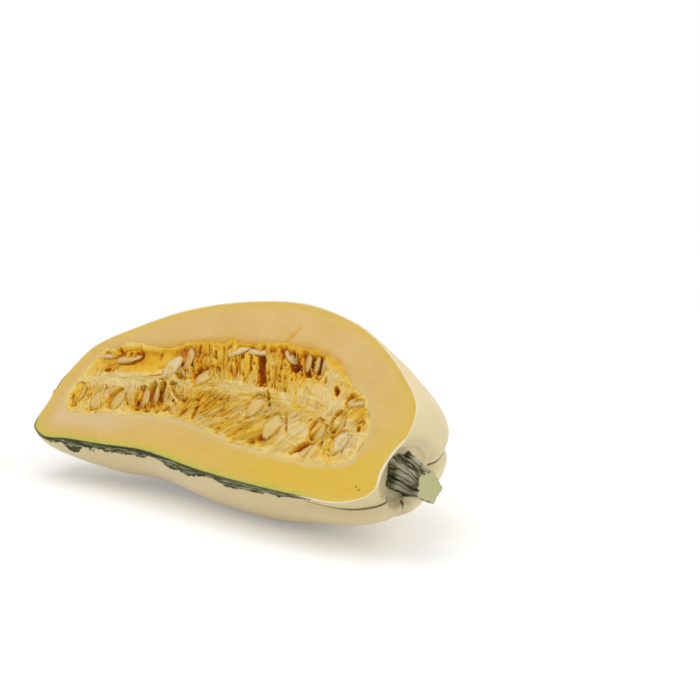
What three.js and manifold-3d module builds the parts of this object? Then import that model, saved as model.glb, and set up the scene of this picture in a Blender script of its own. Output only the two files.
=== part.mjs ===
// Half of a delicata squash, cut lengthwise just beside its stem: rind and flesh in one piece, the
// woody stem, the fibrous pulp in the seed cavity, and the seeds. Millimetres, +Z up. It rests on a
// small flat spot on the skin side, with the cut face leaning over towards -Y.
import * as THREE from "three";
import { mergeVertices } from "three/addons/utils/BufferGeometryUtils.js";
import Module from "manifold-3d";

const wasm = await Module();
wasm.setup();

// Driving dimensions. In the fruit's own frame x runs from the blossom end to the stem, y runs up
// across the cut face and z points out of it, so the flesh lies at negative z.
const CUT_TILT = 40;                         // degrees that the cut face leans from level
const REST_SHIFT = [-8.4, -21.1, 33];       // where the fruit's frame sits in the part's frame
const GAP = 0.35;                            // clearance between pieces that touch in the real fruit

// Rings of the whole fruit: x, radius, rise and depth of the ring's centre.
const BODY_RINGS = [
  [-82.5, 0, 3, 4],
  [-83.5, 8, 0.5, 4],
  [-83, 15.5, -3, 4],
  [-79.5, 22.5, 0, 3],
  [-68, 29, 4, 3],
  [-47.5, 35.5, 11.5, 5],
  [-23, 39, 17.5, 5.5],
  [6.5, 42.5, 19, 7],
  [36, 40.5, 17, 8.5],
  [57.5, 35.5, 14, 9],
  [73.5, 30, 10.5, 9],
  [83.5, 24, 8.5, 9],
  [87, 17, 5.5, 9],
  [85.8, 12.4, 4.2, 8.8],
  [84.6, 9.4, 4, 8.8],
  [84.2, 0, 4, 8.8],
];
const BODY_FLATTENING = [0.7, 0.94, 0.75];   // depth over width: blossom end, middle, stem end
const STEM_END_LEAN = 0.15;                  // how far the back of the stem end reaches forward
const STEM_END_LIFT = 0.25;                  // and how far it reaches up
const FURROW_ANGLES = [-80, -126, -171, 141, 95];
const FURROW_DEPTH = 2.4;
const FURROW_SPREAD = 9;                     // degrees
const FURROW_FADE_RADIUS = 20;
// Along x, where the first furrow and the last one fade to a tenth of their depth.
const FIRST_FURROW_ENDS = [-62, -76];
const LAST_FURROW_ENDS = [40, 75];

// Rings of the seed cavity, in the same terms.
const CAVITY_RINGS = [
  [-77.5, 0, 3, 3.5],
  [-74.5, 13, 6.3, 4],
  [-65, 18.4, 8.2, 4.4],
  [-48, 18, 11, 5.3],
  [-28, 19.8, 16, 5.7],
  [-8, 21.4, 18.2, 6.2],
  [12, 24.2, 18, 6.2],
  [30, 24, 17, 6.2],
  [45, 21, 13.8, 5.7],
  [58, 16.4, 10.6, 5.3],
  [67, 10, 7, 4.4],
  [71, 0, 4.5, 3.5],
];
const CAVITY_FLATTENING = 0.75;

// Rings of the stem, and its ribs.
const STEM_RINGS = [
  [83.8, 7.7, 4.2, 8.9],
  [85.5, 7.3, 3.9, 8.7],
  [88.2, 6.6, 3.2, 8.4],
  [93, 5.7, 2.2, 8],
  [100.3, 5.3, 0.7, 7.8],
];
const STEM_RIBS = 5;
const STEM_RIB_HEIGHT = 0.09;                // as a share of the radius

// The pulp's face: the pale cord that the seeds hang from, with a trough on either side of it.
const PULP_FACE_DEPTH = 0.8;
const TROUGH_DEPTH = [1.8, 1.2];             // of the upper and the lower row of seeds
const TROUGH_OFFSET = [13, -11];             // from the cord, at mid length
const TROUGH_WIDTH = 5;
const CHAMBER = { x: -50, y: 20.8, length: 17, width: 5.8, depth: 1.6 };

// A seed is a flat drop with a pointed end: length, width, thickness.
const SEED_SIZE = [12, 7.6, 2.6];
// Where each seed lies: x and y, its turn in the cut face (0 stands its length across the fruit),
// its roll about its own length (0 shows its flat side, 90 its edge), and how far its highest
// point lies below the cut.
const SEEDS = [
  [13.5, 13, 3, 0, 0.4],
  [26.5, 6, -3, 4, 0.3],
  [-71.6, 20.2, 78, -46, 0.3],
  [-60.8, 20.8, 70, -30, 0.3],
  [-42.5, 26, -3, -10, 1.2],
  [-32.5, 26.5, -28, -30, 0.3],
  [-36.5, 20.5, 7, -8, 0],
  [-18.5, 20, 27, -12, 0.6],
  [-11.3, 35, 55, -24, 0.2],
  [-1, 37, 86, -38, 0.2],
  [14.5, 37.5, -53, 62, 0.3],
  [22.5, 35.8, -26, -46, 0.5],
  [30.8, 35.4, -29, -58, 0.6],
  [-60, -0.5, 7, 6, 0.3],
  [-52, 1, -6, -16, 0.5],
  [-41, 4.8, -27, -34, 0.8],
  [-36.8, 7.6, -29, -54, 0.6],
  [-32.6, 8.8, -30, -56, 0.8],
  [-26.6, 11.2, -61, -70, 0.7],
  [-72.6, -0.6, -14, -18, 0.8],
  [56.2, 25.2, 73, -26, 0.3],
  [53, 13.6, -14, -38, 0.8],
  [58.6, 6, 7, -8, 0.3],
  [45, -2.4, 22, -30, 0.5],
  [46.4, 8.6, -19, -26, 0.6],
  [-5, 7.5, 36, -14, 0.7],
  [-31.6, 19.4, -60, -70, 1.3],
  [26.8, 36, -22, -54, 0.7],
];

const radians = THREE.MathUtils.degToRad;
const smoothstep = THREE.MathUtils.smoothstep;

// Points of a table's rows on a smooth curve through them all: a uniform Catmull-Rom spline.
function smoothRows(table, count) {
  const last = table.length - 1;
  const row = (index) => table[Math.min(Math.max(index, 0), last)];
  const samples = [];
  for (let i = 0; i < count; i += 1) {
    const t = (i / (count - 1)) * last;
    const k = Math.min(Math.floor(t), last - 1);
    const f = t - k;
    samples.push(table[0].map((_, c) => {
      const [b, d] = [row(k)[c], row(k + 1)[c]];
      const a = k > 0 ? row(k - 1)[c] : 2 * b - d;
      const e = k + 2 <= last ? row(k + 2)[c] : 2 * d - b;
      return 0.5 * (2 * b + (d - a) * f + (2 * a - 5 * b + 4 * d - e) * f * f
        + (3 * b - a - 3 * d + e) * f * f * f);
    }));
  }
  return samples;
}

// A closed surface of rings along x, whose first and last rows are single points. place gives the
// point of a row at an angle, 0 out of the cut face and 90 degrees up across it.
function ringGeometry(rows, sides, place) {
  const positions = [];
  const index = [];
  const inner = rows.slice(1, -1);
  positions.push(...place(rows[0], 0));
  for (const row of inner) {
    for (let j = 0; j < sides; j += 1) {
      positions.push(...place(row, (j / sides) * 2 * Math.PI));
    }
  }
  positions.push(...place(rows[rows.length - 1], 0));
  const at = (i, j) => 1 + i * sides + (j % sides);
  const end = 1 + inner.length * sides;
  for (let j = 0; j < sides; j += 1) {
    index.push(0, at(0, j), at(0, j + 1));
    index.push(end, at(inner.length - 1, j + 1), at(inner.length - 1, j));
    for (let i = 0; i + 1 < inner.length; i += 1) {
      index.push(at(i, j), at(i + 1, j), at(i + 1, j + 1));
      index.push(at(i, j), at(i + 1, j + 1), at(i, j + 1));
    }
  }
  const geometry = new THREE.BufferGeometry();
  geometry.setAttribute("position", new THREE.Float32BufferAttribute(positions, 3));
  geometry.setIndex(index);
  return geometry;
}

// A solid for cutting and joining.
function solid(source) {
  const geometry = source.clone();
  geometry.deleteAttribute("normal");
  geometry.deleteAttribute("uv");
  const merged = mergeVertices(geometry);
  return new wasm.Manifold(new wasm.Mesh({
    numProp: 3,
    vertProperties: new Float32Array(merged.attributes.position.array),
    triVerts: new Uint32Array(merged.index.array),
  }));
}

// A named mesh from a solid or a geometry.
function piece(name, shape, colour, roughness) {
  let geometry = shape;
  if (!shape.isBufferGeometry) {
    const { vertProperties, triVerts } = shape.getMesh();
    geometry = new THREE.BufferGeometry();
    geometry.setAttribute("position", new THREE.BufferAttribute(vertProperties, 3));
    geometry.setIndex(new THREE.BufferAttribute(triVerts, 1));
  }
  const material = new THREE.MeshStandardMaterial({ color: colour, roughness, metalness: 0 });
  const mesh = new THREE.Mesh(geometry, material);
  mesh.name = name;
  return mesh;
}

// How far the furrows sink the rind at x and at an angle.
function furrow(x, radius, angle) {
  let sum = 0;
  FURROW_ANGLES.forEach((centre, i) => {
    const apart = THREE.MathUtils.euclideanModulo(THREE.MathUtils.radToDeg(angle) - centre + 180, 360);
    let kept = 1;
    if (i === 0) kept -= 0.9 * smoothstep(-x, -FIRST_FURROW_ENDS[0], -FIRST_FURROW_ENDS[1]);
    if (i === FURROW_ANGLES.length - 1) kept -= 0.9 * smoothstep(x, ...LAST_FURROW_ENDS);
    sum += kept * Math.exp(-(((apart - 180) / FURROW_SPREAD) ** 2));
  });
  return FURROW_DEPTH * sum * Math.min(radius / FURROW_FADE_RADIUS, 1);
}

// A point of the whole fruit's skin: a lobed ring, flattened, and bent over at the stem end.
function skinPoint([x, radius, rise, depth], angle) {
  const [blossom, mid, stemEnd] = BODY_FLATTENING;
  const flattening = mid + (stemEnd - mid) * smoothstep(x, 10, 90)
    + (blossom - mid) * smoothstep(-x, 35, 80);
  const r = Math.max(radius - furrow(x, radius, angle), 0);
  const behind = -flattening * r * Math.cos(angle);
  const bent = behind * smoothstep(x, 30, 90);
  const y = rise + r * Math.sin(angle) + STEM_END_LIFT * bent;
  return [x + STEM_END_LEAN * bent, y, -depth - behind];
}

// A point of the cavity's wall.
function cavityPoint([x, radius, rise, depth], angle) {
  const r = Math.max(radius, 0);
  return [x, rise + r * Math.sin(angle), -depth + CAVITY_FLATTENING * r * Math.cos(angle)];
}

// A point of the ribbed stem, grown outwards by a margin.
function stemPoint([x, radius, rise, depth], angle, margin) {
  const rib = 1 + STEM_RIB_HEIGHT * Math.cos(STEM_RIBS * angle);
  const r = radius > 0 ? radius * rib + margin : 0;
  return [x, rise + r * Math.sin(angle), -depth + r * Math.cos(angle)];
}

function stemGeometry(margin) {
  const rows = smoothRows(STEM_RINGS, 9);
  const first = rows[0];
  const last = rows[rows.length - 1];
  const cap = (row, shift) => [row[0] + shift, 0, row[2], row[3]];
  const shifted = rows.map((row) => [...row]);
  shifted[0][0] -= margin;
  shifted[shifted.length - 1][0] += margin;
  const all = [cap(first, -margin), ...shifted, cap(last, margin)];
  return ringGeometry(all, 30, (row, angle) => stemPoint(row, angle, margin));
}

// The cavity's own shape, shrunk on every side by a margin.
function cavityGeometry(margin) {
  const rows = smoothRows(CAVITY_RINGS, 22);
  const halfLength = (rows[rows.length - 1][0] - rows[0][0]) / 2;
  const middle = rows[0][0] + halfLength;
  const shrink = 1 - margin / halfLength;
  const shrunk = rows.map(([x, radius, rise, depth]) => {
    return [middle + (x - middle) * shrink, Math.max(radius - margin, 0), rise, depth];
  });
  return ringGeometry(shrunk, 24, cavityPoint);
}

// How high the cord of pulp runs across the cut face at x.
function cordRise(x) {
  return 17 - 12 * ((x - 5) / 80) ** 2;
}

// Depth of the pulp's face below the cut: shallow on the cord, deeper in the two rows of seeds and
// in the empty chamber at the blossom end.
function pulpDepth(x, y) {
  const taper = 1 - 0.55 * Math.abs((x - 8) / 75) ** 2;
  let depth = PULP_FACE_DEPTH;
  TROUGH_OFFSET.forEach((offset, i) => {
    const away = (y - cordRise(x) - offset * taper) / TROUGH_WIDTH;
    depth += TROUGH_DEPTH[i] * Math.exp(-(away ** 2));
  });
  const along = (x - CHAMBER.x) / CHAMBER.length;
  const across = (y - CHAMBER.y) / CHAMBER.width;
  return depth + CHAMBER.depth * Math.exp(-(along ** 2) - across ** 2);
}

// Everything in front of the pulp's face, as a closed block over the cavity.
function pulpLid() {
  const [columns, lines] = [38, 16];
  const [low, high] = [new THREE.Vector2(-82, -18), new THREE.Vector2(76, 48)];
  const block = new THREE.BoxGeometry(1, 1, 1, columns, lines, 1);
  const position = block.attributes.position;
  for (let i = 0; i < position.count; i += 1) {
    const x = low.x + (position.getX(i) + 0.5) * (high.x - low.x);
    const y = low.y + (position.getY(i) + 0.5) * (high.y - low.y);
    position.setXYZ(i, x, y, position.getZ(i) > 0 ? 30 : -pulpDepth(x, y));
  }
  return block;
}

// A seed with its broad end at the bottom and its point at the top, grown by a margin.
function seedGeometry(margin) {
  const rows = [];
  const steps = 6;
  for (let i = 0; i <= steps; i += 1) {
    const t = (1 - Math.cos((Math.PI * i) / steps)) / 2;
    rows.push([t, Math.sin(Math.PI * t ** 0.85) ** 0.58]);
  }
  rows[steps][1] = 0;
  const [length, width, thickness] = SEED_SIZE.map((side) => side / 2 + margin);
  return ringGeometry(rows, 8, ([t, share], angle) => {
    return [(2 * t - 1) * length, share * width * Math.sin(angle), share * thickness * Math.cos(angle)];
  });
}

// The matrix that lays a seed in its place.
function seedPlace([x, y, turn, roll, below]) {
  const matrix = new THREE.Matrix4().makeRotationZ(radians(90 - turn));
  matrix.multiply(new THREE.Matrix4().makeRotationX(radians(roll)));
  const [, width, thickness] = SEED_SIZE;
  const halfHeight = Math.hypot(width * Math.sin(radians(roll)), thickness * Math.cos(radians(roll))) / 2;
  matrix.setPosition(x, y, -below - halfHeight);
  return matrix;
}

const fruit = new THREE.Group();
fruit.rotation.x = radians(CUT_TILT);
fruit.position.set(...REST_SHIFT);
fruit.updateMatrixWorld(true);

// Blocks that take away what lies in front of the cut and what lies below the resting face.
const beyondCut = new THREE.BoxGeometry(400, 400, 200).translate(0, 0, 100);
const belowRest = new THREE.BoxGeometry(400, 400, 200).translate(0, 0, -100);
belowRest.applyMatrix4(fruit.matrixWorld.clone().invert());

const seedPockets = SEEDS.map((seed) => solid(seedGeometry(GAP).applyMatrix4(seedPlace(seed))));

let fleshAndRind = solid(ringGeometry(smoothRows(BODY_RINGS, 40), 60, skinPoint));
for (const cutter of [beyondCut, belowRest, cavityGeometry(0), stemGeometry(GAP)]) {
  fleshAndRind = fleshAndRind.subtract(solid(cutter));
}
let pulp = solid(cavityGeometry(GAP)).subtract(solid(pulpLid()));
for (const pocket of seedPockets) {
  fleshAndRind = fleshAndRind.subtract(pocket);
  pulp = pulp.subtract(pocket);
}

fruit.add(piece("flesh_and_rind", fleshAndRind, "#dfbf78", 0.55));
fruit.add(piece("stem", stemGeometry(0), "#6d7158", 0.8));
fruit.add(piece("pulp", pulp, "#dc9f35", 0.4));
SEEDS.forEach((seed, i) => {
  const name = `seed_${String(i + 1).padStart(2, "0")}`;
  fruit.add(piece(name, seedGeometry(0).applyMatrix4(seedPlace(seed)), "#e3cf9b", 0.45));
});

const squash = new THREE.Group();
squash.add(fruit);

export default squash;
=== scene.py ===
import math

import bmesh
import bpy
import numpy as np
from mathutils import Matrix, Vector


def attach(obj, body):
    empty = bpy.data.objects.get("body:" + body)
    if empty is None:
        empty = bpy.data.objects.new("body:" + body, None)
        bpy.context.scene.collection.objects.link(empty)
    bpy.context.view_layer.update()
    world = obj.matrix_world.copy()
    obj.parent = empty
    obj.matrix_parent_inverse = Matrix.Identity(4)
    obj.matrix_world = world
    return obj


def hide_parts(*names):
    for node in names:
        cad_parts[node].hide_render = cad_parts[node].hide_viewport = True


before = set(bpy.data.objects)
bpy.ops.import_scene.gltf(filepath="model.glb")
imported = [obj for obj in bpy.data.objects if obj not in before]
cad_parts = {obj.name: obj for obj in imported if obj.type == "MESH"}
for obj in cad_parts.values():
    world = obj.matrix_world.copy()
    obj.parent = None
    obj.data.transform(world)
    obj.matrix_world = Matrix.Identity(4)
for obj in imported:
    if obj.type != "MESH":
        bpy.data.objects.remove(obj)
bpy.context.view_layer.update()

bl_info = {
    "name": "Halved delicata squash",
    "version": (1, 0, 0),
    "blender": (4, 5, 0),
    "location": "3D View > Sidebar > Squash",
    "description": "Builds the finished surfaces of a delicata squash cut in half along its length",
    "category": "Add Mesh",
}

# The fruit's own frame, in millimetres: x runs from the blossom end to the stem, y runs up across
# the cut face, and z points out of it, so all flesh lies at negative z. An angle round a ring is 0
# straight out of the cut face and 90 degrees up across it.
MM = 0.001
# In metres: how far a piece stands over the table, and how close two points are merged.
TABLE_GAP = 0.00005
MERGE_DISTANCE = 2e-6
CUT_TILT = math.radians(40)
REST_SHIFT = np.array([-8.4, -21.1, 33])

# Rings of the whole fruit: x, radius, rise and depth of the ring's centre.
BODY_RINGS = [
    [-82.5, 0, 3, 4],
    [-83.5, 8, 0.5, 4],
    [-83, 15.5, -3, 4],
    [-79.5, 22.5, 0, 3],
    [-68, 29, 4, 3],
    [-47.5, 35.5, 11.5, 5],
    [-23, 39, 17.5, 5.5],
    [6.5, 42.5, 19, 7],
    [36, 40.5, 17, 8.5],
    [57.5, 35.5, 14, 9],
    [73.5, 30, 10.5, 9],
    [83.5, 24, 8.5, 9],
    [87, 17, 5.5, 9],
    [85.8, 12.4, 4.2, 8.8],
    [84.6, 9.4, 4, 8.8],
    [84.2, 0, 4, 8.8],
]
# How flat the back is at the blossom end, in the middle and at the stem end; 1 is round.
BODY_FLATTENING = (0.7, 0.94, 0.75)
# How far the back is bent along and up at the stem end, for each millimetre behind the cut.
STEM_END_LEAN = 0.15
STEM_END_LIFT = 0.25
# Furrows: where they lie round a ring and how wide they are, in degrees, their depth, and the
# radius under which they fade.
FURROW_ANGLES = (-80, -126, -171, 141, 95)
FURROW_SPREAD = 9
FURROW_DEPTH = 2.4
FURROW_FADE_RADIUS = 20
# The first furrow runs out before the blossom end, and the last before the stem.
FIRST_FURROW_ENDS = (-62, -76)
LAST_FURROW_ENDS = (40, 75)
# The scar that the flower left on the blossom end: its middle and the radius of its collar.
SCAR = {"y": 0.8, "z": -3.4, "radius": 5.2}

# Half width of the green along each furrow but the first at these x, before its edge is ragged.
STRIPE_X = [-86, -70, -58, -40, -18, 2, 20, 42, 54, 66, 88]
STRIPE_HALF_WIDTH = [
    [3.0, 3.0, 2.8, 3.0, 2.2, 2.0, 1.6, 1.1, 0.6, 0.2, 0.0],
    [2.0, 2.8, 3.4, 3.2, 3.0, 2.9, 2.3, 1.5, 1.0, 0.5, 0.0],
    [2.6, 2.4, 1.8, 1.6, 1.5, 1.2, 0.8, 0.3, 0.0, 0.0, 0.0],
    [1.6, 2.4, 3.0, 2.6, 2.4, 2.2, 1.9, 1.0, 0.0, 0.0, 0.0],
]
# The first furrow is cut through lengthwise: how far its green reaches down from the lower edge.
EDGE_STRIPE_X = [-84, -72, -64, -62, -57, -53, -48, -40, -33, -26, -19, -14, -11, -2, 7, 10, 14, 18,
                 24, 33, 40, 50, 58, 64, 70]
EDGE_STRIPE_REACH = [0.9, 1.0, 1.2, 4.4, 4.9, 2.9, 2.2, 2.6, 3.1, 2.5, 2.2, 1.7, 3.3, 3.6, 3.5, 1.5,
                     1.6, 3, 4, 4, 3.4, 3.2, 1.8, -0.5, -4]

# Millimetres that stand for no green near a point, and for a mark out of its reach.
NO_GREEN = -6
FAR = 20
# A shallow crack in the flesh above the cavity: its two ends.
CRACK_ENDS = np.array([[8.2, 40.0], [11.6, 49.5]])

# Rings of the seed cavity, in the same terms.
CAVITY_RINGS = [
    [-77.5, 0, 3, 3.5],
    [-74.5, 13, 6.3, 4],
    [-65, 18.4, 8.2, 4.4],
    [-48, 18, 11, 5.3],
    [-28, 19.8, 16, 5.7],
    [-8, 21.4, 18.2, 6.2],
    [12, 24.2, 18, 6.2],
    [30, 24, 17, 6.2],
    [45, 21, 13.8, 5.7],
    [58, 16.4, 10.6, 5.3],
    [67, 10, 7, 4.4],
    [71, 0, 4.5, 3.5],
]
CAVITY_FLATTENING = 0.75

# Rings of the stem, which starts inside its pit.
STEM_RINGS = [
    [83.8, 7.7, 4.2, 8.9],
    [85.5, 7.3, 3.9, 8.7],
    [88.2, 6.6, 3.2, 8.4],
    [93, 5.7, 2.2, 8],
    [100.3, 5.3, 0.7, 7.8],
]
# The cut end leans by this much along the stem for each millimetre across it.
STEM_CUT_SLANT = 0.27
STEM_RIBS = 5
# As a share of the stem's radius.
STEM_RIB_HEIGHT = 0.09

# How the pulp's fibres lean: how far along the fruit one runs for each millimetre away from the
# cord, above it and below it, at these x.
FIBRE_X = [-70, -45, -20, 0, 25, 45, 62]
FIBRE_LEAN_ABOVE = [-0.3, -0.5, -0.65, -0.6, -0.5, -0.1, 0.6]
FIBRE_LEAN_BELOW = [0.3, 0.5, 0, -0.8, -0.85, -0.3, 0.3]
# How torn the pulp is above and below the cord, from 0, matted, to 1, in single fibres.
TORN_ABOVE_X = [-75, -36, -30, -5, 10, 30, 50, 65]
TORN_ABOVE = [0.1, 0.15, 1, 0.9, 0.8, 0.5, 0.6, 0.3]
TORN_BELOW_X = [-75, -50, -40, -25, -10, 10, 35, 55, 65]
TORN_BELOW = [0.25, 0.4, 0.7, 0.8, 0.5, 0.6, 0.7, 0.35, 0.2]
# How far the pulp is spread over the flesh beyond the cavity's edge, and how low it is tucked in
# all round.
PULP_SPREAD = 1.2
PULP_TUCK = -0.6
# A height that lies under all of the pulp.
DEEPEST = -9
# The empty chamber at the blossom end, whose floor is a smooth film.
CHAMBER = {"x": -50, "y": 20.8, "slope": 0.16, "length": 17, "width": 5.8, "depth": 1.6}
# Torn pits in the pulp: x, y, half length, half width, depth, and lean of the length from y.
PITS = np.array([
    [6, 28.5, 8, 1.8, 4.5, -35],
    [20.5, 32.5, 3, 1.8, 4, -75],
    [30.5, 35, 4, 1.1, 4, -30],
    [25, 34, 6.5, 0.6, 3.5, -45],
    [37.5, 29.5, 1.5, 0.5, 2.5, -25],
    [44.5, 26.5, 2.5, 1, 3, -40],
    [56, 13, 1.5, 0.9, 2.5, -35],
    [64, 12.5, 1.5, 0.9, 2.5, -40],
    [26, 0, 2.5, 1.9, 2, 50],
    [18.5, 15.5, 5.5, 0.5, 3.5, -40],
    [32.5, 7.5, 4.5, 0.6, 2.5, -35],
    [-73, -3.5, 2.5, 0.4, 2, -35],
    [-60.5, -6.5, 2, 0.4, 2, -30],
    [-50.5, -5, 1, 0.4, 2, -15],
    [-46.5, 1.5, 3.5, 0.5, 2.5, -45],
    [-33.5, -1.5, 2.5, 0.6, 2.5, 90],
    [-40, 3.5, 3, 0.4, 2, -40],
    [-34.5, 5.5, 5, 0.4, 2.5, -35],
    [-31.5, 7, 3, 0.4, 2.5, -35],
    [-25.5, 1.5, 1.5, 0.9, 2.5, 55],
    [-24.5, 6, 3, 0.4, 2.5, -60],
    [-11.5, 4, 3, 0.8, 3, -10],
    [-16, 3, 2.5, 1, 2, 35],
    [-28, 21, 3.5, 0.4, 2.5, -60],
    [-22.5, 21, 3.5, 0.7, 3, 10],
    [-23, 19, 2.5, 0.6, 2, 25],
    [-18.5, 17.5, 1.5, 0.5, 2, -20],
    [57.5, 24.5, 4, 0.5, 2, 75],
    [-39.5, 15.5, 4.5, 0.6, 1.5, 75],
    [-65.5, 12.5, 3, 1, 1.5, 85],
    [52, 4, 3.5, 0.4, 2, -30],
])
# Stains in the pulp: x, y, half length along x, half width, and the change of tone.
STAINS = [
    [-36, 28, 8, 5, -0.34],
    [-64, 14.5, 5, 2.2, -0.34],
    [-52, 25.5, 8, 1.6, -0.14],
    [-38, 14, 7, 1, -0.22],
    [15, 36, 6, 3, -0.2],
    [20.5, 18.5, 2.5, 3.5, -0.14],
    [26, -1, 3, 2, -0.2],
    [62, 16, 3, 4, -0.12],
    [-55, 10.5, 20, 2.2, 0.14],
    [-12, 16, 12, 3, -0.08],
    [5, 20, 5, 2, 0.14],
    [42, 17, 13, 7, 0.12],
    [64, 2, 6, 5, 0.2],
    [-60, 0, 20, 5, -0.07],
]

# Length, width and thickness of a seed, then where each lies: x and y, its turn in the cut face (0
# stands its length across the fruit), its roll about its own length (0 shows its flat side, 90 its
# edge), how far its highest point lies below the cut, how white its coat has dried, and how much
# of it a film of pulp covers.
SEED_SIZE = np.array([12, 7.6, 2.6])
SEEDS = np.array([
    [13.5, 13, 3, 0, 0.4, 0.1, 0],
    [26.5, 6, -3, 4, 0.3, 0.15, 0],
    [-71.6, 20.2, 78, -46, 0.3, 0.9, 0.4],
    [-60.8, 20.8, 70, -30, 0.3, 0.3, 0.3],
    [-42.5, 26, -3, -10, 1.2, 0, 0.7],
    [-32.5, 26.5, -28, -30, 0.3, 0.2, 0],
    [-36.5, 20.5, 7, -8, 0, 0.7, 0.25],
    [-18.5, 20, 27, -12, 0.6, 0.1, 0.35],
    [-11.3, 35, 55, -24, 0.2, 0.8, 0.45],
    [-1, 37, 86, -38, 0.2, 0.9, 0.4],
    [14.5, 37.5, -53, 62, 0.3, 0.8, 0],
    [22.5, 35.8, -26, -46, 0.5, 0.2, 0],
    [30.8, 35.4, -29, -58, 0.6, 0.2, 0.1],
    [-60, -0.5, 7, 6, 0.3, 0.1, 0.2],
    [-52, 1, -6, -16, 0.5, 0.05, 0.15],
    [-41, 4.8, -27, -34, 0.8, 0.15, 0.3],
    [-36.8, 7.6, -29, -54, 0.6, 0.1, 0.2],
    [-32.6, 8.8, -30, -56, 0.8, 0.2, 0.3],
    [-26.6, 11.2, -61, -70, 0.7, 0.15, 0.4],
    [-72.6, -0.6, -14, -18, 0.5, 0.1, 0.85],
    [56.2, 25.2, 73, -26, 0.3, 0.5, 0.3],
    [53, 13.6, -14, -38, 0.8, 0, 0.6],
    [58.6, 6, 7, -8, 0.3, 0.8, 0.55],
    [45, -2.4, 22, -30, 0.5, 0.8, 0.55],
    [46.4, 8.6, -19, -26, 0.6, 0.1, 0.5],
    [-5, 7.5, 36, -14, 0.7, 0, 0.85],
    [-31.6, 19.4, -60, -70, 1.3, 0.1, 0.3],
    [26.8, 36, -22, -54, 0.7, 0.2, 0.1],
])

# How often a range is halved to find where a surface meets the cut plane.
HALVINGS = 50


# ---------------------------------------------------------------- numbers

def smoothstep(value, low, high):
    """0 below low, 1 above high, and the curve 3t^2 - 2t^3 between; low may be the larger one."""
    t = np.clip((value - low) / (high - low), 0, 1)
    return t * t * (3 - 2 * t)


def bell(value, width):
    """The bell curve exp(-(value / width)^2)."""
    return np.exp(-((value / width) ** 2))


def between_rows(rows, t):
    """The rows of a table joined by a uniform Catmull-Rom spline, read at t rows from the start.

    Both ends carry on in a straight line for one more row.
    """
    rows = np.asarray(rows, float)
    padded = np.vstack([2 * rows[0] - rows[1], rows, 2 * rows[-1] - rows[-2]])
    index = np.clip(np.floor(t).astype(int), 0, len(rows) - 2)
    f = (t - index)[..., None]
    a, b, c, d = (padded[index + k] for k in range(4))
    return 0.5 * (2 * b + (c - a) * f + (2 * a - 5 * b + 4 * c - d) * f ** 2
                  + (3 * b - a - 3 * c + d) * f ** 3)


def soft_noise(points, cell, seed):
    """A smooth random field from 0 to 1 over points (..., 3).

    Each corner of a lattice whose cells measure `cell` holds a random number, and a point blends
    its eight corners by the smoothstep of its place in the cell.
    """
    size = 48
    table = np.random.default_rng(seed).random((size, size, size))
    place = points / np.asarray(cell, float)
    corner = np.floor(place).astype(int)
    f = place - corner
    f = f * f * (3 - 2 * f)
    total = 0
    for i, j, k in np.ndindex(2, 2, 2):
        weight = np.prod(np.abs(1 - np.array([i, j, k]) - f), axis=-1)
        at = (corner + [i, j, k]) % size
        total = total + weight * table[at[..., 0], at[..., 1], at[..., 2]]
    return total


def noise(points, *layers):
    """Soft noise about zero: the sum of height * (soft noise - 0.5) over height, cell and seed."""
    return sum(height * (soft_noise(points, cell, seed) - 0.5) for height, cell, seed in layers)


def ridges(points, cell, seed):
    """Sharp crests, 0 to 1: one minus the distance of soft noise from its middle value."""
    return 1 - np.abs(2 * soft_noise(points, cell, seed) - 1)


def stack(*parts):
    """Numbers or arrays of like shape as the last axis of one array."""
    return np.stack(np.broadcast_arrays(*parts), -1)


def flat(x, y, z=0):
    """Points of the plane at height z, from their x and y."""
    return stack(x, y, 0 * x + z)


def turned(x, y, angle):
    """What x and y read in a frame that is turned by an angle."""
    return x * np.cos(angle) + y * np.sin(angle), y * np.cos(angle) - x * np.sin(angle)


def ring_angles(columns):
    """Angles once round a ring, the first met again at the end."""
    return np.linspace(0, 2 * np.pi, columns)[None]


def columns_of(table, points):
    """The columns of a table, shaped to have one row per leading index over an array of points."""
    return (column.reshape((-1,) + (1,) * np.ndim(points)) for column in np.asarray(table, float).T)


def distance_to_line(points, line):
    """Distance of points (..., 2) to the nearest of many close points along a line, in blocks."""
    spots = points.reshape(-1, 2)
    parts = [np.min(np.hypot(part[:, None, 0] - line[None, :, 0],
                             part[:, None, 1] - line[None, :, 1]), axis=1)
             for part in np.array_split(spots, max(1, len(spots) // 500))]
    return np.concatenate(parts).reshape(points.shape[:-1])


def resampled(line, times):
    """A line of points with each of its stretches cut evenly into so many."""
    at = np.arange((len(line) - 1) * times + 1) / times
    return stack(*(np.interp(at, np.arange(len(line)), line[:, k]) for k in range(line.shape[1])))


def to_row_frame(points):
    """Fruit millimetres to row metres: a turn about x by the tilt of the cut, then the shift."""
    x, y, z = np.moveaxis(points, -1, 0)
    return (stack(x, *turned(y, z, -CUT_TILT)) + REST_SHIFT) * MM


# ---------------------------------------------------------------- shapes of the fruit

def furrow_distances(x, radius, angle):
    """How far round the ring each furrow lies, in mm, one furrow per row of the first axis.

    A furrow wanders a little along the fruit, as growth lines do.
    """
    centres = np.array(FURROW_ANGLES, float).reshape((-1,) + (1,) * np.ndim(angle))
    wander = 0.9 * np.sin(x / 17 + centres) + 0.5 * np.sin(x / 7.3 + 2 * centres)
    apart = np.mod(np.degrees(angle) - centres + 180, 360) - 180
    return np.radians(apart) * np.maximum(radius, 1) + wander * smoothstep(radius, 4, 25) * 0.6


def scar_distance(y, z):
    """How far points of the blossom end lie from the middle of the flower's scar."""
    return np.hypot(y - SCAR["y"], z - SCAR["z"])


def blossom_end(x):
    """1 at the blossom end, where the scar is, and 0 over the rest of the fruit."""
    return smoothstep(x, -70, -80)


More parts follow.
